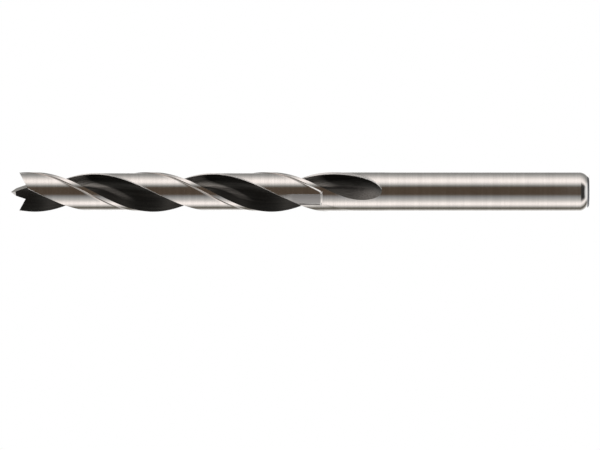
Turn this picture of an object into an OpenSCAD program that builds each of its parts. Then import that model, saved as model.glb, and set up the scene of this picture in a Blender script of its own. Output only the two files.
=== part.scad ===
// Brad point drill bit: one piece of steel with a straight shank, two right-hand helical flutes,
// relieved lands with narrow margins, and a ground W-shaped end with a centring brad and two spurs.
// It stands on the end of its shank: Z runs along the axis towards the brad, X along the cutting lips.

/* [Overall] */
// Diameter of the drill across its margins
drill_d = 8; // [6:0.5:12]
// How much smaller the diameter of the plain shank is
shank_undersize = 0.05; // [0.05:0.01:0.2]
// Length from the end of the shank to the tip of the brad
overall_l = 117; // [110:1:150]
// Length of the flutes, measured back from the tip of the brad
flute_l = 75; // [68:1:85]

/* [Flutes] */
// Angle of the helix at the outside diameter
helix_angle = 27.7; // [20:0.1:35]
// Part of each half turn that the flute takes, in degrees; the land has the rest
flute_angle = 87; // [75:1:100]
// Thickness of the web between the two flutes
web_t = 1.4; // [1:0.1:2]
// Radius at the bottom of the flute, between the rake face and the heel wall
flute_r = 1.3; // [0.8:0.1:1.6]
// Width of the bevel along the heel of each land
heel_bevel = 0.3; // [0.1:0.05:0.5]
// Length over which the flute gets shallower and narrower at its end
runout_l = 7.5; // [5:0.5:11]
// Length over which the helix straightens before the flute ends
straighten_l = 13; // [8:1:18]
// Twist that is left at the very end of the flute, as a share of the full twist
end_twist = 0.25; // [0.1:0.05:0.6]

/* [Lands] */
// Width of the margin behind each leading edge, left at the full diameter
margin_w = 1.3; // [0.8:0.1:1.8]
// Depth of the relief behind the margin
relief_t = 0.18; // [0.1:0.02:0.3]
// Length of the relief, measured back from the tip of the brad
relief_l = 63; // [50:1:64]
// Length at the end of the relief where its heel side runs parallel to the axis
relief_lead = 4.6; // [3:0.2:6]
// Corner radius at the end of the relief
relief_r = 0.6; // [0.3:0.1:0.9]

/* [Ground end] */
// Height of the brad above the valleys beside it
brad_h = 2.9; // [2.4:0.1:3.6]
// Height of the tip of the brad above the tips of the spurs
brad_lead = 1.75; // [1.4:0.05:2.1]
// Distance of each valley from the axis, along the lip
valley_r = 1.7; // [1.5:0.05:1.9]
// Angle by which each valley turns towards the axis on its way back from its lip
valley_turn = 30; // [20:1:38]
// Angle at which each valley falls away behind its lip
valley_fall = 11; // [9:1:16]
// Included angle of the small facets at the tip of the brad
facet_angle = 72; // [60:1:90]
// Width of the chisel edge left between the facets
chisel_w = 0.08; // [0.04:0.02:0.2]

/* [Shank end] */
// Length of the chamfer at the end of the shank
chamfer_l = 1.05; // [0.5:0.05:2]
// Width of the chamfer, measured across the end of the shank
chamfer_w = 1.2; // [0.5:0.05:2]

/* [Hidden] */

steel_colour = [0.76, 0.75, 0.73];

// Distance between sections of the fluted body, along its length and near the ground end
section_step = 1;
tip_step = 0.3;
// Sections in the run-out of the flutes, and in the rounded corners at the end of the relief
runout_steps = 14;
corner_steps = 4;
// Faces along the rake face, round the bottom of a flute and up its heel wall
rake_steps = 2;
fillet_steps = 9;
wall_steps = 2;
// Faces across the strip behind the end of the relief, across the relief and across a margin
strip_steps = 2;
relief_steps = 6;
margin_steps = 2;
// Share of its depth that a flute still has in its last section
last_depth = 0.002;
// Height of the step at the end of the relief, and angle taken by the step along its sides
step_h = 0.03;
step_angle = 0.5;
// How far the body is drawn past the tip before it is ground, and the facet's block past that
overshoot = 1;

drill_r = drill_d / 2;
shank_r = (drill_d - shank_undersize) / 2;
relieved_r = drill_r - relief_t;
degrees_per_mm = 360 * tan(helix_angle) / (PI * drill_d);

// Heights of the features of the ground end
brad_z = overall_l;
spur_z = overall_l - brad_lead;
valley_z = overall_l - brad_h;

// Heights at which the flutes and the relief end, and where they start to change on the way there
flute_end_z = overall_l - flute_l;
runout_z = flute_end_z + runout_l;
straighten_z = flute_end_z + straighten_l;
relief_end_z = overall_l - relief_l;
relief_lead_z = relief_end_z + relief_lead;
fine_z = valley_z - drill_r / 2;
body_top_z = overall_l + overshoot;

// The flute in the plane of the spur tips, where its rake face is parallel to X
rake_y = web_t / 2;
lip_angle = asin(rake_y / drill_r);
middle_angle = lip_angle + flute_angle / 2;
margin_angle = degrees_of_arc(margin_w, drill_r);
bevel_angle = degrees_of_arc(heel_bevel, relieved_r);
leading_corner = polar(drill_r, lip_angle);
heel = polar(relieved_r, lip_angle + flute_angle);
heel_rise = heel.y - rake_y;
widest_fillet = (heel.x * heel.x + heel_rise * heel_rise) / (2 * heel_rise);
fillet_r = min(flute_r, 0.9 * widest_fillet);
fillet_centre = [0, rake_y + fillet_r];
to_heel = heel - fillet_centre;
wall_angle = atan2(to_heel.y, to_heel.x) + acos(fillet_r / norm(to_heel));
wall_start = fillet_centre + polar(fillet_r, wall_angle);
bevel_start = heel + heel_bevel * (wall_start - heel) / norm(wall_start - heel);

// The groove that is ground at each lip: a V whose sides pass through the spur and the brad
spur_rise = in_groove([leading_corner.x, leading_corner.y, spur_z]);
brad_rise = in_groove([0, 0, brad_z]);
// Reach of what is taken away, past the whole drill
block = 3 * drill_d;

function polar(r, angle) = [r * cos(angle), r * sin(angle)];

function degrees_of_arc(arc, r) = arc / r * 180 / PI;

function turned(p, angle) =
    [p.x * cos(angle) - p.y * sin(angle), p.x * sin(angle) + p.y * cos(angle)];

// A point as seen along a valley from its lip: how far out and how high it lies
function in_groove(p) =
    let (flat = turned([p.x - valley_r, p.y - rake_y], valley_turn))
    [flat.x, (p.z - valley_z) * cos(valley_fall) - flat.y * sin(valley_fall)];

// Even steps from one number or point to another
function between(a, b, count) = [for (i = [0 : count]) a + (b - a) * i / count];

function but_last(list) = [for (i = [0 : len(list) - 2]) list[i]];

// Turn of the flutes at height z: an even helix, which straightens over its last stretch
function turn_at(z) =
    let (below = max(0, straighten_z - z))
    let (straightened = (1 - end_twist) * below * below / (2 * straighten_l))
    degrees_per_mm * (z - spur_z + straightened);

// Share of its full depth that the flute has at height z; its width goes with the root of this,
// which keeps its edges on the surface of the drill
function depth_at(z) =
    let (run = min(1, max(0, runout_z - z) / runout_l))
    max(last_depth, 1 - run * run);

function half_width(z) = asin(sin(flute_angle / 2) * sqrt(depth_at(z)));

// One flute without its two edges: rake face, bottom and heel wall
flute_outline = concat(
    but_last(between(leading_corner, [0, rake_y], rake_steps)),
    [for (a = between(270, wall_angle, fillet_steps)) fillet_centre + polar(fillet_r, a)],
    [for (i = [1 : wall_steps]) wall_start + (bevel_start - wall_start) * i / wall_steps]
);

function flute_points(z) =
    let (depth = depth_at(z))
    [for (i = [1 : len(flute_outline) - 1])
        let (p = turned(flute_outline[i], -middle_angle))
        turned([drill_r - (drill_r - p.x) * depth, p.y * sqrt(depth)], middle_angle)];

// Angles at which the land behind the flute begins, and at which it ends in its leading edge
function land_start(z) = middle_angle + half_width(z) + bevel_angle * sqrt(depth_at(z));

function land_end(z) = middle_angle - half_width(z) + 180;

// How far the rounded corners at the end of the relief draw its sides in, in degrees
function corner_inset(z) =
    let (left = max(0, relief_r - (z - relief_end_z)))
    degrees_of_arc(relief_r - sqrt(relief_r * relief_r - left * left), drill_r);

// Angles between which a land is relieved: from its heel, or from a line parallel to the axis
// near the end of the relief, to the margin
function relief_start(z) =
    land_start(z) + step_angle + turn_at(max(z, relief_lead_z)) - turn_at(z) + corner_inset(z);

function relief_stop(z) = land_end(z) - margin_angle - corner_inset(z);

// A land's angles: the strip behind the relief, the relief and the margin. They draw level
// where the flute runs out and the land closes to half a circle.
function land_angles(z) =
    let (low = max(z, relief_end_z))
    let (strip = relief_start(low) - land_start(low) + land_start(z))
    let (stop = relief_stop(low) - land_end(low) + land_end(z))
    let (angles = concat(
        between(land_start(z), strip, strip_steps),
        between(strip + step_angle, stop - step_angle, relief_steps),
        but_last(between(stop, land_end(z), margin_steps))))
    let (last = len(angles))
    let (share = depth_at(z))
    [for (i = [0 : last - 1])
        angles[i] * share + (land_start(z) + (land_end(z) - land_start(z)) * i / last) * (1 - share)];

function land_points(z) =
    let (angles = land_angles(z))
    let (strip_r = z < relief_lead_z ? drill_r : relieved_r)
    let (middle_r = z < relief_end_z ? drill_r : relieved_r)
    [for (i = [0 : len(angles) - 1])
        polar(i <= strip_steps ? strip_r : i <= strip_steps + relief_steps + 1 ? middle_r : drill_r,
              angles[i])];

// Whole section at height z: flute and land, twice
function section(z) =
    let (half = concat([polar(drill_r, land_end(z) - 180)], flute_points(z), land_points(z)))
    [for (side = [0, 180], p = half) let (q = turned(p, turn_at(z) + side)) [q.x, q.y, z]];

function steps_for(length, step) = max(1, ceil(length / step));

section_heights = concat(
    [for (i = [0 : runout_steps - 1]) flute_end_z + runout_l * (1 - cos(90 * i / runout_steps))],
    but_last(between(runout_z, relief_end_z - step_h,
                     steps_for(relief_end_z - runout_z, section_step))),
    [relief_end_z - step_h],
    [for (i = [0 : corner_steps - 1]) relief_end_z + relief_r * (1 - cos(90 * i / corner_steps))],
    but_last(between(relief_end_z + relief_r, relief_lead_z,
                     steps_for(relief_lead - relief_r, section_step))),
    [relief_lead_z - step_h, relief_lead_z],
    [for (z = between(relief_lead_z, fine_z, steps_for(fine_z - relief_lead_z, section_step)))
        if (z > relief_lead_z) z],
    [for (z = between(fine_z, body_top_z, steps_for(body_top_z - fine_z, tip_step)))
        if (z > fine_z) z]
);

// A closed solid through sections that have the same number of points, each seen from above
// as running counter-clockwise
module loft(sections) {
    size = len(sections[0]);
    top = len(sections) - 1;
    polyhedron(
        points = [for (one = sections) each one],
        faces = concat(
            [[for (j = [0 : size - 1]) j]],
            [[for (j = [size - 1 : -1 : 0]) top * size + j]],
            [for (i = [0 : top - 1], j = [0 : size - 1])
                let (k = (j + 1) % size) [i * size + j, (i + 1) * size + j, i * size + k]],
            [for (i = [0 : top - 1], j = [0 : size - 1])
                let (k = (j + 1) % size) [i * size + k, (i + 1) * size + j, (i + 1) * size + k]]
        )
    );
}

module fluted_body() {
    loft([for (z = section_heights) section(z)]);
}

// A cylinder inside a cone that leaves the end face at the foot of the chamfer
module shank() {
    foot_r = shank_r - chamfer_w;
    intersection() {
        cylinder(h = flute_end_z, r = shank_r, $fn = 96);
        cylinder(h = flute_end_z, r1 = foot_r, r2 = foot_r + flute_end_z * chamfer_w / chamfer_l, $fn = 96);
    }
}

// What a wheel with a V-shaped edge takes: from the valley out over the spur and in over the brad
module groove_ground() {
    outer = block * spur_rise / norm(spur_rise);
    inner = block * brad_rise / norm(brad_rise);
    translate([valley_r, rake_y, valley_z])
        rotate([90 + valley_fall, 0, -valley_turn])
            linear_extrude(block, center = true) polygon([[0, 0], outer, outer + inner, inner]);
}

// A block whose lower face is the facet on the front of the tip of the brad
module facet_ground() {
    intersection() {
        translate([0, -chisel_w / 2, brad_z])
            rotate([90 - facet_angle / 2, 0, 0])
                translate([-block / 2, -block / 2, 0]) cube(block);
        translate([-valley_r, -valley_r, valley_z])
            cube([2 * valley_r, 2 * valley_r, brad_h + 2 * overshoot]);
    }
}

// What the grinding takes from one half of the end; the other half is the same, turned round
module end_ground() {
    groove_ground();
    facet_ground();
}

module drill_bit() {
    color(steel_colour) difference() {
        union() {
            shank();
            fluted_body();
        }
        for (side = [0, 180]) rotate(side) end_ground();
    }
}

drill_bit();
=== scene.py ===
# Looks of a brad point drill bit. It draws the drill again, finer than the CAD solid, from the same
# sizes and formulas, gives it ground steel and dark flutes, and sets up the studio and the camera.
import math

import bpy
from mathutils import Matrix, Vector


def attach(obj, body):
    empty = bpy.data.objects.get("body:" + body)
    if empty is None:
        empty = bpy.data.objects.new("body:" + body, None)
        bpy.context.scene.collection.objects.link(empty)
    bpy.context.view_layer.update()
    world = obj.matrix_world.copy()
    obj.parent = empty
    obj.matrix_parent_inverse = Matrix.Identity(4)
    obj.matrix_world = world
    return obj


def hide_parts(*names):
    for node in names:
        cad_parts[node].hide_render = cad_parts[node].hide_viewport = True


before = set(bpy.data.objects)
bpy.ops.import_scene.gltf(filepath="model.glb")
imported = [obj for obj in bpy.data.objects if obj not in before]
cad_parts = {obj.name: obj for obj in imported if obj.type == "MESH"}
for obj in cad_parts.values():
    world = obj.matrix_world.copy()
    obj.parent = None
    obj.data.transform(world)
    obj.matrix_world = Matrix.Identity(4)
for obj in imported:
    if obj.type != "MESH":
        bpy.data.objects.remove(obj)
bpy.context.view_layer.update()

# Sizes in millimetres and degrees, as in the CAD source
MM = 0.001
DRILL_D = 8
SHANK_UNDERSIZE = 0.05
OVERALL_L = 117
FLUTE_L = 75
HELIX_ANGLE = 27.7
FLUTE_ANGLE = 87
WEB_T = 1.4
FLUTE_R = 1.3
HEEL_BEVEL = 0.3
RUNOUT_L = 7.5
STRAIGHTEN_L = 13
END_TWIST = 0.25
MARGIN_W = 1.3
RELIEF_T = 0.18
RELIEF_L = 63
RELIEF_LEAD = 4.6
RELIEF_R = 0.6
BRAD_H = 2.9
BRAD_LEAD = 1.75
VALLEY_R = 1.7
VALLEY_TURN = 30
VALLEY_FALL = 11
FACET_ANGLE = 72
CHISEL_W = 0.08
CHAMFER_W = 1.2

# How finely the form is drawn: steps along the drill in millimetres, and counts of the others
SECTION_STEP = 0.3
TIP_STEP = 0.12
RUNOUT_STEPS = 60
CORNER_STEPS = 12
RAKE_STEPS = 6
FILLET_STEPS = 22
WALL_STEPS = 5
STRIP_STEPS = 4
RELIEF_STEPS = 18
COVE_STEPS = 8
MARGIN_STEPS = 6
COVE_RINGS = 10
SHANK_STEPS = 12
# Least share of its depth that a flute keeps, and how far the bar stands over the brad at first
LAST_DEPTH = 0.0005
OVERSHOOT = 1
# Edges that turn more than this stay sharp
SHARP_ANGLE = 24
# Width of the hollow by which the relieved land rises to the top of its margin
COVE_W = 0.5
# Length over which the shank's smaller diameter meets the drill's
BLEND_L = 2
# The chamfer of the shank is softened into a curve: its length, its bend and its dark lower part
SOFT_L = 1.75
SOFT_BEND = (3.8, 0.62)
SOFT_STEPS = 14
END_L = 0.42

# Steel of the lands and shank, of the heel bevels, of the ground end and of the shank's end face
STEEL_COLOUR = (0.81, 0.8, 0.79)
BEVEL_COLOUR = (0.97, 0.96, 0.95)
FACET_COLOUR = (0.66, 0.65, 0.63)
END_COLOUR = (0.14, 0.145, 0.155)
# Stretch of the grinding lines, which run round the drill, and of the mottle over them, per metre
FINE_LINES = (120, 120, 9000)
BROAD_LINES = (60, 60, 900)
MOTTLE = (500, 500, 350)
GRAIN = (900, 900, 900)
# Tones that are darkest and lightest, their shares of the colour, and how far lines and mottle
# change the roughness
STEEL_TONES = (0.3, 0.7)
TONE_LOW = 0.86
TONE_HIGH = 1.1
LINE_ROUGHNESS = 0.05
MOTTLE_ROUGHNESS = 0.03

# Shares of the relief's full depth: the patch fades in between the first two, and the painted shade
# of the hollow fades out from the first to the third
LEVEL_FROM = 0.8
LEVEL_FULL = 0.98
HOLLOW_END = 0.99

# Matte patches at the lower end of the relieved lands: middle and half width round the drill,
# heights, how soft each edge is, colour, and roughness over the steel's own
PATCH_ANGLE = -136
PATCH_HALF = 27
PATCH_SIDE_FADE = 0.06
PATCH_LOW = 54
PATCH_LOW_FADE = 0.1
PATCH_HIGH = 59.5
PATCH_HIGH_FADE = 2.5
PATCH_RAGGED = 0.4
PATCH_COLOUR = (0.5, 0.5, 0.505)
PATCH_ROUGHNESS = 0.45

# Painted shade in the hollow beside the margin, where the step shades it: its lower end, fade,
# colour and share
HOLLOW_LOW = 56
HOLLOW_FADE = 3
HOLLOW_EDGE = 0.2
HOLLOW_SHADE_COLOUR = (0.2, 0.17, 0.15)
HOLLOW_SHADE_SHARE = 0.75

# Dark oxide in the flutes, and stretch of its streaks and lines, which run along the flutes, per mm
OXIDE_DARK = (0.024, 0.0235, 0.022)
OXIDE_LIGHT = (0.052, 0.051, 0.047)
FLUTE_STREAKS = (2.6, 2.6, 0.07)
FLUTE_LINES = (9, 9, 0.2)
FLUTE_LINE_DEPTH = 0.00002
# Shares of streaks and lines in the oxide's tone, and the tones that are darkest and lightest
STREAK_PART = 0.6
LINE_PART = 0.4
OXIDE_TONES = (0.36, 0.64)
# Range of the lines over which the painted highlight shows, and the flutes' roughness, metal and
# shine
SHEEN_ON_LINES = (0.2, 0.62)
FLUTE_ROUGHNESS = (0.32, 0.46)
FLUTE_MOTTLE = 0.05
FLUTE_METAL = 0.5
FLUTE_SHINE = 0.3
# Painted highlights slanting across the flutes: how steeply they cross, and for each where it lies,
# its half width and its strength; the first fades where it nears the lip's side
SHEEN_COLOUR = (0.36, 0.35, 0.335)
SHEEN_SLANT = 0.53
FIRST_SHEEN = (51.6, 1.15, 1)
SECOND_SHEEN = (44.1, 1.6, 0.22)
SHEEN_FADE = (0.3, 2.6)
# Painted sheen on one side of the run-outs: its strength, and where it begins across the flute
RUNOUT_SHEEN = 0.5
RUNOUT_SHEEN_SIDE = (-1.2, 0.9)

# Light cards round the drill: the angle from the camera's side and the card's colour
WHITE = (1, 1, 1)
SOFTBOX = (0.93, 0.86, 0.82)
SILVER = (0.47, 0.45, 0.43)
GREY = (0.31, 0.3, 0.29)
BLUE_GREY = (0.25, 0.25, 0.25)
DARK_GREY = (0.21, 0.21, 0.2)
OLIVE = (0.12, 0.11, 0.09)
BROWN = (0.07, 0.05, 0.035)
CARDS = [
    (-180, WHITE),
    (-152, WHITE),
    (-132, SILVER),
    (-120, OLIVE),
    (-106, OLIVE),
    (-94, SILVER),
    (-79, SOFTBOX),
    (-70, SOFTBOX),
    (-50, SILVER),
    (-31, BLUE_GREY),
    (-14, BROWN),
    (28, BROWN),
    (38, DARK_GREY),
    (46, SILVER),
    (62, SOFTBOX),
    (75, SOFTBOX),
    (104, SILVER),
    (120, GREY),
    (141, DARK_GREY),
    (157, GREY),
    (180, WHITE),
]
CARD_LIGHT = 1.25
# A strip of light above the camera and dark cloth below it, as the sine of their height, and how
# far they reach round the drill, as a cosine; only the slanting flutes show them
STRIP_COLOUR = (1, 0.98, 0.95)
STRIP_LOWER_EDGE = (0.24, 0.34)
STRIP_UPPER_EDGE = (0.4, 0.5)
CLOTH_COLOUR = (0.03, 0.028, 0.026)
CLOTH_EDGE = (0.2, 0.34)
FRONT_EDGE = (0.35, 0.8)
# Light from straight above and below
POLE_COLOUR = (0.75, 0.74, 0.73)
POLE_EDGE = (0.75, 0.95)

# The floor: its radius, sides, colour, roughness and own glow, and the shares of its radius
# between which it turns white
FLOOR_R = 30
FLOOR_SIDES = 64
FLOOR_COLOUR = (0.8, 0.8, 0.8)
FLOOR_ROUGHNESS = 0.8
FLOOR_GLOW = 0.55
FLOOR_FADE = (0.25, 0.95)

# The photo's direction, as an angle round the drill from X, and the drill's place in the picture
VIEW_ANGLE = -103
PICTURE_W = 600
PICTURE_H = 450
TIP_PX = 11
SHANK_END_PX = 589
AXIS_PX = 192
LENS = 600
SENSOR = 36
CLIP_START = 0.05
CLIP_END = 20

drill_r = DRILL_D / 2
shank_r = (DRILL_D - SHANK_UNDERSIZE) / 2
relieved_r = drill_r - RELIEF_T
degrees_per_mm = 360 * math.tan(math.radians(HELIX_ANGLE)) / (math.pi * DRILL_D)
spur_z = OVERALL_L - BRAD_LEAD
valley_z = OVERALL_L - BRAD_H
flute_end_z = OVERALL_L - FLUTE_L
runout_z = flute_end_z + RUNOUT_L
straighten_z = flute_end_z + STRAIGHTEN_L
relief_end_z = OVERALL_L - RELIEF_L
relief_lead_z = relief_end_z + RELIEF_LEAD
fine_z = valley_z - drill_r / 2
rake_y = WEB_T / 2


def sine(angle):
    return math.sin(math.radians(angle))


def cosine(angle):
    return math.cos(math.radians(angle))


def polar(r, angle):
    return Vector((r * cosine(angle), r * sine(angle)))


def turned(p, angle):
    c = cosine(angle)
    s = sine(angle)
    return Vector((p[0] * c - p[1] * s, p[0] * s + p[1] * c))


def degrees_of_arc(arc, r):
    return math.degrees(arc / r)


def between(a, b, count):
    """Even steps from one number or point to another, both included."""
    return [a + (b - a) * (i / count) for i in range(count + 1)]


def steps_between(a, b, step):
    """Heights from a up to b, b left out, about a step apart."""
    return between(a, b, max(1, math.ceil((b - a) / step)))[:-1]


lip_angle = math.degrees(math.asin(rake_y / drill_r))
middle_angle = lip_angle + FLUTE_ANGLE / 2
margin_angle = degrees_of_arc(MARGIN_W - COVE_W, drill_r)
bevel_angle = degrees_of_arc(HEEL_BEVEL, relieved_r)
leading_corner = polar(drill_r, lip_angle)
heel = polar(relieved_r, lip_angle + FLUTE_ANGLE)
heel_rise = heel.y - rake_y
widest_fillet = (heel.x ** 2 + heel_rise ** 2) / (2 * heel_rise)
fillet_r = min(FLUTE_R, 0.9 * widest_fillet)
fillet_centre = Vector((0, rake_y + fillet_r))
to_heel = heel - fillet_centre
wall_angle = math.degrees(
    math.atan2(to_heel.y, to_heel.x) + math.acos(fillet_r / to_heel.length)
)
wall_start = fillet_centre + polar(fillet_r, wall_angle)
bevel_start = heel + HEEL_BEVEL * (wall_start - heel).normalized()

flute_outline = (
    between(leading_corner, Vector((0, rake_y)), RAKE_STEPS)[1:-1]
    + [fillet_centre + polar(fillet_r, a) for a in between(270, wall_angle, FILLET_STEPS)]
    + between(wall_start, bevel_start, WALL_STEPS)[1:]
)


def turn_at(z):
    """Turn of the flutes at height z, in degrees: an even helix that straightens near its end."""
    below = max(0, straighten_z - z)
    straightened = (1 - END_TWIST) * below * below / (2 * STRAIGHTEN_L)
    return degrees_per_mm * (z - spur_z + straightened)


def depth_at(z):
    """Share of its full depth that a flute has at height z."""
    run = min(1, max(0, runout_z - z) / RUNOUT_L)
    return max(LAST_DEPTH, 1 - run * run)


def half_width(z):
    return math.degrees(math.asin(sine(FLUTE_ANGLE / 2) * math.sqrt(depth_at(z))))


def flute_points(z):
    depth = depth_at(z)
    points = []
    for corner in flute_outline:
        p = turned(corner, -middle_angle)
        shallow = (drill_r - (drill_r - p.x) * depth, p.y * math.sqrt(depth))
        points.append(turned(shallow, middle_angle))
    return points


def land_start(z):
    return middle_angle + half_width(z) + bevel_angle * math.sqrt(depth_at(z))


def land_end(z):
    return middle_angle - half_width(z) + 180


def corner_inset(z):
    """How far the rounded corners at the end of the relief draw its sides in, in degrees."""
    left = max(0, RELIEF_R - (z - relief_end_z))
    return degrees_of_arc(RELIEF_R - math.sqrt(RELIEF_R ** 2 - left ** 2), drill_r)


def relief_start(z):
    lead = turn_at(max(z, relief_lead_z)) - turn_at(z)
    return land_start(z) + lead + corner_inset(z)


def relief_stop(z):
    return land_end(z) - margin_angle - corner_inset(z)


def land_angles(z):
    low = max(z, relief_end_z)
    strip = relief_start(low) - land_start(low) + land_start(z)
    stop = relief_stop(low) - land_end(low) + land_end(z)
    cove = stop - degrees_of_arc(COVE_W, drill_r)
    angles = (
        between(land_start(z), strip, STRIP_STEPS)[:-1]
        + between(strip, cove, RELIEF_STEPS)[:-1]
        + between(cove, stop, COVE_STEPS)[:-1]
        + between(stop, land_end(z), MARGIN_STEPS)[:-1]
    )
    share = depth_at(z)
    level = between(land_start(z), land_end(z), len(angles))
    return [a * share + b * (1 - share) for a, b in zip(angles, level)]


def relief_share(z, angle):
    """How far a point of the land is let in: 0 at the relief's border, 1 from its hollow inwards."""
    above = z - relief_end_z
    before = math.radians(land_end(z) - margin_angle - angle) * drill_r
    lead = turn_at(max(z, relief_lead_z)) - turn_at(z)
    after = math.radians(angle - land_start(z) - lead) * drill_r
    if z >= relief_lead_z:
        after = COVE_W
    beside = min(before, after)
    inside = min(above, beside)
    if above < RELIEF_R and beside < RELIEF_R:
        inside = RELIEF_R - math.hypot(RELIEF_R - above, RELIEF_R - beside)
    left = 1 - min(1, max(0, inside) / COVE_W)
    return 1 - left * left


def land_points(z):
    return [polar(drill_r - RELIEF_T * relief_share(z, a), a) for a in land_angles(z)]


def section(z):
    """Whole section at height z: flute and land, twice."""
    half = [polar(drill_r, land_end(z) - 180)] + flute_points(z) + land_points(z)
    ring = []
    for side in (0, 180):
        for p in half:
            q = turned(p, turn_at(z) + side)
            ring.append(Vector((q.x, q.y, z)))
    return ring


def section_heights():
    heights = [
        flute_end_z + RUNOUT_L * (1 - cosine(90 * i / RUNOUT_STEPS)) for i in range(RUNOUT_STEPS)
    ]
    heights += steps_between(runout_z, relief_end_z, SECTION_STEP)
    heights += [
        relief_end_z + RELIEF_R * (1 - cosine(90 * i / CORNER_STEPS)) for i in range(CORNER_STEPS)
    ]
    heights += steps_between(relief_end_z + RELIEF_R, relief_lead_z - COVE_W, SECTION_STEP)
    heights += between(relief_lead_z - COVE_W, relief_lead_z, COVE_RINGS)[:-1]
    heights += steps_between(relief_lead_z, fine_z, SECTION_STEP)
    heights += steps_between(fine_z, OVERALL_L + OVERSHOOT, TIP_STEP)
    heights.append(OVERALL_L + OVERSHOOT)
    return heights


def shank_rings(first):
    """Rings of the shank below the first section of the flutes, with that section's angles."""
    foot = Vector((shank_r - CHAMFER_W, 0))
    bend = Vector(SOFT_BEND)
    full = Vector((shank_r, SOFT_L))
    profile = []
    for t in between(0, 1, SOFT_STEPS):
        p = (1 - t) ** 2 * foot + 2 * t * (1 - t) * bend + t ** 2 * full
        profile.append((p.x, p.y))
    profile += [(shank_r, z) for z in between(SOFT_L + 1, flute_end_z - BLEND_L, SHANK_STEPS)]
    profile.append((drill_r, flute_end_z - BLEND_L / 20))
    directions = [Vector((p.x, p.y)).normalized() for p in first]
    return [[Vector((d.x * r, d.y * r, z)) for d in directions] for r, z in profile]


# Materials of the drill, in the order of their slots
STEEL = 0
FLUTE = 1
BEVEL = 2
FACET = 3
SHANK_END = 4


def column_material(j, half_count):
    """Material of the strip of faces between point j of a section and the next one."""
    k = j % half_count
    if k < len(flute_outline):
        return FLUTE
    if k == len(flute_outline):
        return BEVEL
    return STEEL


def new_object(name, points, faces, face_materials, materials):
    mesh = bpy.data.meshes.new(name)
    mesh.from_pydata([tuple(Vector(p) * MM) for p in points], [], faces)
    for material in materials:
        mesh.materials.append(material)
    mesh.polygons.foreach_set("material_index", face_materials)
    mesh.update()
    holder = bpy.data.objects.new(name, mesh)
    bpy.context.scene.collection.objects.link(holder)
    return holder


def drill_body(materials):
    """The whole bar with its flutes, before the end is ground."""
    fluted = [section(z) for z in section_heights()]
    rings = shank_rings(fluted[0]) + fluted
    size = len(rings[0])
    plain = len(rings) - len(fluted)
    points = [p for ring in rings for p in ring]
    faces = [list(range(size))[::-1]]
    face_materials = [SHANK_END]
    for i in range(len(rings) - 1):
        for j in range(size):
            k = (j + 1) % size
            a, b = i * size + j, i * size + k
            faces.append([a, b, b + size])
            faces.append([a, b + size, a + size])
            kind = STEEL if i < plain else column_material(j, size // 2)
            if rings[i + 1][0].z < END_L:
                kind = SHANK_END
            face_materials += [kind, kind]
    top = (len(rings) - 1) * size
    faces.append([top + j for j in range(size)])
    face_materials.append(FACET)
    return new_object("drill_bit_body", points, faces, face_materials, materials)


def prism(name, outline, reach, place, materials):
    """A closed prism: its outline lies in local XY, and it runs a reach both ways along local Z."""
    count = len(outline)
    points = [place @ Vector((x, y, side)) for side in (-reach, reach) for x, y in outline]
    faces = [list(range(count))[::-1], [count + i for i in range(count)]]
    for i in range(count):
        k = (i + 1) % count
        faces.append([i, k, count + k, count + i])
    return new_object(name, points, faces, [FACET] * len(faces), materials)


def rotation(angle, axis):
    return Matrix.Rotation(math.radians(angle), 4, axis)


def groove_cutter(side, materials):
    """What a wheel with a V-shaped edge takes at one lip: out over the spur and in over the brad."""
    def in_groove(p):
        flat = turned((p[0] - VALLEY_R, p[1] - rake_y), VALLEY_TURN)
        return Vector((flat.x, (p[2] - valley_z) * cosine(VALLEY_FALL) - flat.y * sine(VALLEY_FALL)))

    reach = 3 * DRILL_D
    outer = reach * in_groove((leading_corner.x, leading_corner.y, spur_z)).normalized()
    inner = reach * in_groove((0, 0, OVERALL_L)).normalized()
    place = (
        rotation(side, "Z")
        @ Matrix.Translation((VALLEY_R, rake_y, valley_z))
        @ rotation(-VALLEY_TURN, "Z")
        @ rotation(90 + VALLEY_FALL, "X")
    )
    outline = [Vector((0, 0)), outer, outer + inner, inner]
    return prism("groove_cutter", outline, reach / 2, place, materials)


def facet_cutter(side, materials):
    """What is ground off one side of the tip of the brad, in local YZ seen along X."""
    drop = BRAD_H - OVERSHOOT / 2
    far = drop * math.tan(math.radians(FACET_ANGLE / 2))
    outline = [
        (-CHISEL_W / 2 - far, -drop),
        (-CHISEL_W / 2 + far, drop),
        (-CHISEL_W / 2 - far, drop),
    ]
    place = (
        rotation(side, "Z")
        @ Matrix.Translation((0, 0, OVERALL_L))
        @ rotation(90, "Z")
        @ rotation(90, "X")
    )
    return prism("facet_cutter", outline, VALLEY_R, place, materials)


def ground_end(body, cutters):
    """The body with the cutters' shapes taken away; the cutters go."""
    for cutter in cutters:
        cut = body.modifiers.new("cut", "BOOLEAN")
        cut.operation = "DIFFERENCE"
        cut.solver = "EXACT"
        cut.object = cutter
    graph = bpy.context.evaluated_depsgraph_get()
    made = bpy.data.meshes.new_from_object(body.evaluated_get(graph))
    made.name = "drill_bit_ground"
    drill = bpy.data.objects.new("drill_bit_ground", made)
    bpy.context.scene.collection.objects.link(drill)
    for old in [body] + cutters:
        bpy.data.objects.remove(old)
    return drill


def mark_places(mesh):
    """For the materials: each point's place with the flutes straight, and how far it is let in."""
    places = []
    shares = []
    for vertex in mesh.vertices:
        p = vertex.co / MM
        flat = turned((p.x, p.y), -turn_at(max(p.z, flute_end_z)))
        places += [flat.x, flat.y, p.z]
        shares.append(min(1, max(0, drill_r - math.hypot(p.x, p.y)) / RELIEF_T))
    mesh.attributes.new("straight_place", "FLOAT_VECTOR", "POINT")
    mesh.attributes["straight_place"].data.foreach_set("vector", places)
    mesh.attributes.new("let_in", "FLOAT", "POINT")
    mesh.attributes["let_in"].data.foreach_set("value", shares)


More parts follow.
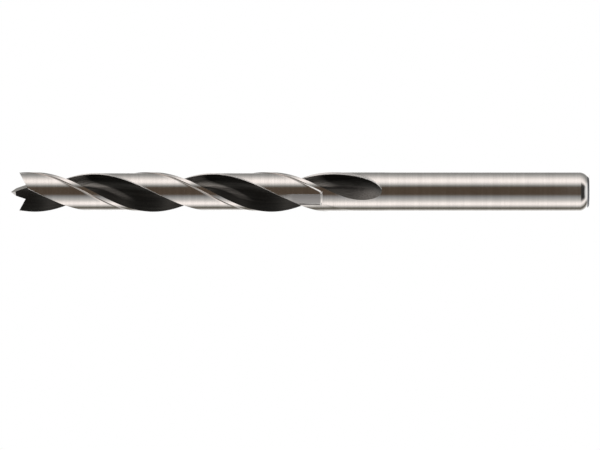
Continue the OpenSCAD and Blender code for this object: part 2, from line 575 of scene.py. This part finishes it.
class Nodes:
    """A short way to write a material's nodes."""

    def __init__(self, tree):
        self.tree = tree

    def add(self, kind, **settings):
        node = self.tree.nodes.new(kind)
        for key, value in settings.items():
            setattr(node, key, value)
        return node

    def link(self, output, target):
        self.tree.links.new(output, target)

    def math(self, operation, a, b=None):
        node = self.add("ShaderNodeMath", operation=operation)
        for socket, value in zip(node.inputs, (a, b)):
            if value is None:
                continue
            if isinstance(value, (int, float)):
                socket.default_value = value
            else:
                self.link(value, socket)
        return node.outputs[0]

    def own_place(self):
        """The object's own place, in metres."""
        return self.add("ShaderNodeTexCoord").outputs["Object"]

    def straight_place(self):
        """The place with the flutes straight, in millimetres."""
        source = self.add("ShaderNodeAttribute", attribute_name="straight_place")
        return source.outputs["Vector"]

    def let_in(self):
        """How far the land is let in there, as a share of the relief's depth."""
        return self.add("ShaderNodeAttribute", attribute_name="let_in").outputs["Fac"]

    def stretched(self, place, scale):
        mapping = self.add("ShaderNodeMapping")
        mapping.inputs["Scale"].default_value = scale
        self.link(place, mapping.inputs["Vector"])
        return mapping.outputs["Vector"]

    def parts(self, vector):
        node = self.add("ShaderNodeSeparateXYZ")
        self.link(vector, node.inputs[0])
        return node.outputs

    def less(self, value):
        """What is left of 1."""
        return self.math("SUBTRACT", 1, value)

    def product(self, a, b):
        return self.math("MULTIPLY", a, b)

    def total(self, a, b):
        return self.math("ADD", a, b)

    def noise(self, vector, detail, roughness):
        node = self.add("ShaderNodeTexNoise")
        node.inputs["Scale"].default_value = 1
        node.inputs["Detail"].default_value = detail
        node.inputs["Roughness"].default_value = roughness
        self.link(vector, node.inputs["Vector"])
        return node.outputs[0]

    def ramp(self, factor, stops):
        node = self.add("ShaderNodeValToRGB")
        points = node.color_ramp.elements
        while len(points) < len(stops):
            points.new(1)
        for point, (position, colour) in zip(points, stops):
            point.position = position
            point.color = (*colour, 1)
        self.link(factor, node.inputs["Fac"])
        return node.outputs["Color"]

    def span(self, value, low, high):
        """A factor from 0 to 1 taken to a number from low to high."""
        node = self.add("ShaderNodeMapRange")
        node.inputs["To Min"].default_value = low
        node.inputs["To Max"].default_value = high
        self.link(value, node.inputs["Value"])
        return node.outputs[0]

    def soft_step(self, value, low, high):
        """0 below low, 1 above high and a smooth rise between them."""
        node = self.add("ShaderNodeMapRange", interpolation_type="SMOOTHSTEP")
        node.inputs["From Min"].default_value = low
        node.inputs["From Max"].default_value = high
        self.link(value, node.inputs["Value"])
        return node.outputs[0]

    def mixed(self, factor, a, b):
        """Colour a where the factor is 0, and colour b where it is 1."""
        node = self.add("ShaderNodeMix", data_type="RGBA")
        colours = [s for s in node.inputs if s.type == "RGBA"]
        for socket, value in zip(colours, (a, b)):
            if isinstance(value, tuple):
                socket.default_value = (*value, 1)
            else:
                self.link(value, socket)
        self.link(factor, node.inputs[0])
        return [s for s in node.outputs if s.type == "RGBA"][0]

    def choice(self, factor, a, b):
        """Shader a where the factor is 0, and shader b where it is 1."""
        node = self.add("ShaderNodeMixShader")
        for socket, value in zip(node.inputs, (factor, a, b)):
            self.link(value, socket)
        return node.outputs[0]

    def bump(self, height, distance, strength):
        node = self.add("ShaderNodeBump")
        node.inputs["Distance"].default_value = distance
        node.inputs["Strength"].default_value = strength
        self.link(height, node.inputs["Height"])
        return node.outputs["Normal"]


def new_material(name):
    material = bpy.data.materials.new(name)
    material.use_nodes = True
    shader = material.node_tree.nodes["Principled BSDF"]
    return material, Nodes(material.node_tree), shader


def patch_share(nodes):
    """1 on the matte patches at the lower end of the relieved lands, 0 elsewhere."""
    x, y, z = nodes.parts(nodes.own_place())
    angle = nodes.math("ARCTAN2", y, x)
    # Twice the angle makes the patches of both lands one
    double = nodes.product(nodes.math("SUBTRACT", angle, math.radians(PATCH_ANGLE)), 2)
    edge = cosine(2 * PATCH_HALF)
    across = nodes.soft_step(nodes.math("COSINE", double), edge, edge + PATCH_SIDE_FADE)
    grain = nodes.noise(nodes.stretched(nodes.own_place(), GRAIN), detail=2, roughness=0.5)
    height = nodes.total(z, nodes.span(grain, -PATCH_RAGGED * MM, PATCH_RAGGED * MM))
    low = nodes.soft_step(height, PATCH_LOW * MM, (PATCH_LOW + PATCH_LOW_FADE) * MM)
    high = nodes.soft_step(height, PATCH_HIGH * MM, (PATCH_HIGH + PATCH_HIGH_FADE) * MM)
    along = nodes.product(low, nodes.less(high))
    level = nodes.soft_step(nodes.let_in(), LEVEL_FROM, LEVEL_FULL)
    return nodes.product(across, nodes.product(along, level))


def hollow_shade_share(nodes):
    """1 where painted shade darkens the hollow beside the margin, 0 elsewhere."""
    let_in = nodes.let_in()
    level = nodes.soft_step(let_in, LEVEL_FROM, HOLLOW_END)
    sloping = nodes.product(nodes.soft_step(let_in, 0, HOLLOW_EDGE), nodes.less(level))
    z = nodes.parts(nodes.own_place())["Z"]
    above = nodes.soft_step(z, HOLLOW_LOW * MM, (HOLLOW_LOW + HOLLOW_FADE) * MM)
    return nodes.product(nodes.product(sloping, above), HOLLOW_SHADE_SHARE)


def steel_material(name, base, roughness, line_depth):
    """Ground steel: fine grinding lines round the drill, under broader bands of tone."""
    material, nodes, shader = new_material(name)
    fine = nodes.noise(nodes.stretched(nodes.own_place(), FINE_LINES), detail=4, roughness=0.7)
    broad = nodes.noise(nodes.stretched(nodes.own_place(), BROAD_LINES), detail=3, roughness=0.6)
    mottle = nodes.noise(nodes.stretched(nodes.own_place(), MOTTLE), detail=3, roughness=0.6)
    tone = nodes.product(nodes.total(fine, broad), 0.5)
    dark = tuple(c * TONE_LOW for c in base)
    light = tuple(min(1, c * TONE_HIGH) for c in base)
    ground = nodes.ramp(tone, list(zip(STEEL_TONES, (dark, light))))
    # Painted shade: the hollow beside the margin is darkened where the step shades it
    hollow = nodes.mixed(hollow_shade_share(nodes), ground, HOLLOW_SHADE_COLOUR)
    patch = patch_share(nodes)
    nodes.link(nodes.mixed(patch, hollow, PATCH_COLOUR), shader.inputs["Base Color"])
    rough = nodes.total(
        nodes.span(tone, -LINE_ROUGHNESS, LINE_ROUGHNESS),
        nodes.span(mottle, -MOTTLE_ROUGHNESS, MOTTLE_ROUGHNESS),
    )
    rougher = nodes.product(patch, PATCH_ROUGHNESS)
    nodes.link(nodes.total(nodes.total(rough, roughness), rougher), shader.inputs["Roughness"])
    shader.inputs["Metallic"].default_value = 1
    nodes.link(nodes.bump(fine, line_depth, strength=1), shader.inputs["Normal"])
    return material


def painted_sheen_share(nodes):
    """1 on the painted highlights that slant across the flutes and on the painted sheen of the
    run-outs, 0 elsewhere.
    """
    x, y, z = nodes.parts(nodes.straight_place())
    flute = nodes.math("SIGN", y)
    rise = nodes.math("SUBTRACT", nodes.math("ABSOLUTE", y), rake_y)
    across = nodes.math("SUBTRACT", nodes.product(x, flute), rise)
    slanted = nodes.total(across, nodes.product(z, SHEEN_SLANT))
    # The flute comes back to the same side of the drill after one whole turn, so the painted
    # highlight repeats there
    wave_number = 2 * math.pi * degrees_per_mm / (360 * SHEEN_SLANT)

    def band(at, half_width, share):
        turn = nodes.product(nodes.math("SUBTRACT", slanted, at), wave_number)
        wave = nodes.product(nodes.math("COSINE", turn), flute)
        return nodes.product(nodes.soft_step(wave, math.cos(half_width * wave_number), 1), share)

    fading = nodes.less(nodes.soft_step(across, *SHEEN_FADE))
    first = nodes.product(band(*FIRST_SHEEN), fading)
    streaks = nodes.math("MAXIMUM", first, band(*SECOND_SHEEN))
    above = nodes.soft_step(z, runout_z, straighten_z + 1)
    below = nodes.product(nodes.less(above), RUNOUT_SHEEN)
    low_side = nodes.product(below, nodes.soft_step(across, *RUNOUT_SHEEN_SIDE))
    return nodes.math("MAXIMUM", nodes.product(streaks, above), low_side)


def flute_material():
    """Dark oxide left in the flutes, with polishing lines that run along them and painted highlights
    on them.
    """
    material, nodes, shader = new_material("dark_flute")
    straight = nodes.straight_place()
    streak = nodes.noise(nodes.stretched(straight, FLUTE_STREAKS), detail=4, roughness=0.65)
    thin = nodes.noise(nodes.stretched(straight, FLUTE_LINES), detail=4, roughness=0.6)
    mottle = nodes.noise(nodes.stretched(nodes.own_place(), GRAIN), detail=3, roughness=0.6)
    tone = nodes.total(nodes.product(streak, STREAK_PART), nodes.product(thin, LINE_PART))
    oxide = nodes.ramp(tone, list(zip(OXIDE_TONES, (OXIDE_DARK, OXIDE_LIGHT))))
    # Painted highlight: light steel colour on the slanting bands and on one side of the run-outs,
    # shown through the lines
    lined = nodes.product(painted_sheen_share(nodes), nodes.soft_step(thin, *SHEEN_ON_LINES))
    nodes.link(nodes.mixed(lined, oxide, SHEEN_COLOUR), shader.inputs["Base Color"])
    rough = nodes.total(
        nodes.span(thin, *FLUTE_ROUGHNESS),
        nodes.span(mottle, -FLUTE_MOTTLE, FLUTE_MOTTLE),
    )
    nodes.link(rough, shader.inputs["Roughness"])
    shader.inputs["Metallic"].default_value = FLUTE_METAL
    shader.inputs["Specular IOR Level"].default_value = FLUTE_SHINE
    nodes.link(nodes.bump(thin, FLUTE_LINE_DEPTH, strength=0.6), shader.inputs["Normal"])
    return material


def drill_materials():
    return [
        steel_material("ground_steel", STEEL_COLOUR, roughness=0.14, line_depth=0.0000015),
        flute_material(),
        steel_material("bevel_steel", BEVEL_COLOUR, roughness=0.55, line_depth=0.000002),
        steel_material("facet_steel", FACET_COLOUR, roughness=0.34, line_depth=0.000003),
        steel_material("end_steel", END_COLOUR, roughness=0.4, line_depth=0.000004),
    ]


def studio_world():
    """Light cards round the drill that only reflections see; to the camera the world is white."""
    world = bpy.data.worlds.new("studio")
    world.use_nodes = True
    nodes = Nodes(world.node_tree)
    direction = nodes.add("ShaderNodeTexCoord").outputs["Generated"]
    turn = nodes.add("ShaderNodeVectorRotate", rotation_type="Z_AXIS")
    turn.inputs["Angle"].default_value = math.radians(-VIEW_ANGLE)
    nodes.link(direction, turn.inputs["Vector"])
    x, y, z = nodes.parts(turn.outputs["Vector"])
    angle = nodes.math("ARCTAN2", y, x)
    share = nodes.total(nodes.math("DIVIDE", angle, 2 * math.pi), 0.5)
    around = nodes.ramp(share, [(a / 360 + 0.5, colour) for a, colour in CARDS])
    front = nodes.soft_step(nodes.math("COSINE", angle), *FRONT_EDGE)
    over = nodes.less(nodes.soft_step(z, *STRIP_UPPER_EDGE))
    strip = nodes.product(nodes.product(nodes.soft_step(z, *STRIP_LOWER_EDGE), over), front)
    lit = nodes.mixed(strip, around, STRIP_COLOUR)
    cloth = nodes.product(nodes.soft_step(nodes.product(z, -1), *CLOTH_EDGE), front)
    draped = nodes.mixed(cloth, lit, CLOTH_COLOUR)
    pole = nodes.soft_step(nodes.math("ABSOLUTE", z), *POLE_EDGE)
    background = world.node_tree.nodes["Background"]
    background.inputs["Strength"].default_value = CARD_LIGHT
    nodes.link(nodes.mixed(pole, draped, POLE_COLOUR), background.inputs["Color"])
    white = nodes.add("ShaderNodeBackground")
    white.inputs["Color"].default_value = (*WHITE, 1)
    seen = nodes.add("ShaderNodeLightPath").outputs["Is Camera Ray"]
    shown = nodes.choice(seen, background.outputs[0], white.outputs[0])
    nodes.link(shown, world.node_tree.nodes["World Output"].inputs["Surface"])
    bpy.context.scene.world = world


def floor_material():
    """Pale, keeps the drill's shadow, and turns as white as the background towards its edge."""
    material, nodes, shader = new_material("floor")
    shader.inputs["Base Color"].default_value = (*FLOOR_COLOUR, 1)
    shader.inputs["Roughness"].default_value = FLOOR_ROUGHNESS
    glow = nodes.add("ShaderNodeEmission")
    glow.inputs["Strength"].default_value = FLOOR_GLOW
    both = nodes.add("ShaderNodeAddShader")
    nodes.link(shader.outputs[0], both.inputs[0])
    nodes.link(glow.outputs[0], both.inputs[1])
    white = nodes.add("ShaderNodeEmission")
    distance = nodes.add("ShaderNodeVectorMath", operation="LENGTH")
    nodes.link(nodes.own_place(), distance.inputs[0])
    edge = nodes.soft_step(distance.outputs["Value"], *(FLOOR_R * MM * f for f in FLOOR_FADE))
    faded = nodes.choice(edge, both.outputs[0], white.outputs[0])
    # The steel doesn't show the floor, so its bands go on down to the chamfer
    clear = nodes.add("ShaderNodeBsdfTransparent")
    seen = nodes.add("ShaderNodeLightPath").outputs["Is Glossy Ray"]
    shown = nodes.choice(seen, faded, clear.outputs[0])
    nodes.link(shown, material.node_tree.nodes["Material Output"].inputs["Surface"])
    return material


def studio_floor():
    rim = [polar(FLOOR_R, 360 * i / FLOOR_SIDES) for i in range(FLOOR_SIDES)]
    points = [(0, 0, 0)] + [(p.x, p.y, 0) for p in rim]
    faces = [(0, 1 + i, 1 + (i + 1) % FLOOR_SIDES) for i in range(FLOOR_SIDES)]
    floor = new_object("studio_floor", points, faces, [0] * FLOOR_SIDES, [floor_material()])


def photo_camera():
    """The photo's side of the drill, with the tip at the left of the picture and the axis level."""
    scale = (SHANK_END_PX - TIP_PX) / OVERALL_L
    width = PICTURE_W / scale * MM
    distance = width * LENS / SENSOR
    back = Vector((cosine(VIEW_ANGLE), sine(VIEW_ANGLE), 0))
    right = Vector((0, 0, -1))
    up = back.cross(right)
    aside = ((TIP_PX + SHANK_END_PX) / 2 - PICTURE_W / 2) / scale * MM
    rise = (PICTURE_H / 2 - AXIS_PX) / scale * MM
    centre = Vector((0, 0, OVERALL_L / 2 * MM)) - right * aside - up * rise
    data = bpy.data.cameras.new("photo_camera")
    data.lens = LENS
    data.sensor_width = SENSOR
    data.clip_start = CLIP_START
    data.clip_end = CLIP_END
    camera = bpy.data.objects.new("photo_camera", data)
    bpy.context.scene.collection.objects.link(camera)
    turn = Matrix((right, up, back)).transposed().to_4x4()
    camera.matrix_world = Matrix.Translation(centre + back * distance) @ turn
    bpy.context.scene.camera = camera


def build_drill():
    materials = drill_materials()
    body = drill_body(materials)
    cutters = []
    for side in (0, 180):
        cutters.append(groove_cutter(side, materials))
        cutters.append(facet_cutter(side, materials))
    drill = ground_end(body, cutters)
    mark_places(drill.data)
    drill.data.shade_smooth()
    drill.data.set_sharp_from_angle(angle=math.radians(SHARP_ANGLE))
    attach(drill, "root")
    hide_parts("drill_bit")


build_drill()
studio_world()
studio_floor()
photo_camera()
bpy.context.scene.view_settings.view_transform = "Standard"
